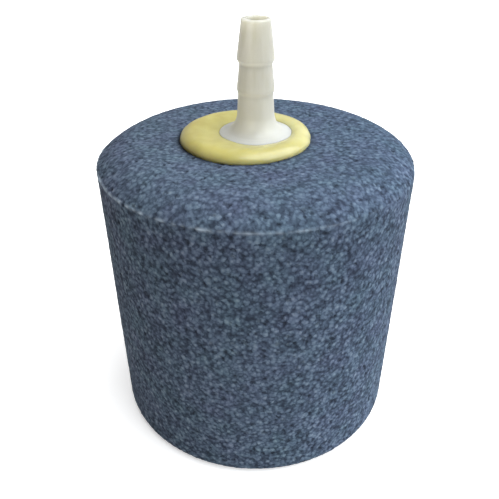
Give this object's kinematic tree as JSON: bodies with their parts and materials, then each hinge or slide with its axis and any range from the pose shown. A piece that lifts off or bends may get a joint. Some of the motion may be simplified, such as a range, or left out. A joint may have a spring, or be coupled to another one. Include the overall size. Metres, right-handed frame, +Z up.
{
  "type": "air stone",
  "caption": "Short cylinder of bonded grey grain with a rounded top shoulder, a barbed plastic hose nipple glued in its top and a yellow adhesive collar.",
  "frame": {"origin": "centre of the flat underside of the stone", "axes": "+Z up along the nipple's axis, +Y away from the viewer of the picture, +X to the viewer's right"},
  "size_m": [0.05, 0.05, 0.068],
  "materials": {
    "bonded_grain": "matte",
    "nipple_plastic": "satin",
    "cured_adhesive": "gloss"
  },
  "bodies": {
    "root": {"stone_body": "bonded_grain", "hose_nipple": "nipple_plastic", "sealing_collar": "cured_adhesive", "stem_adhesive": "cured_adhesive"}
  },
  "joints": []
}
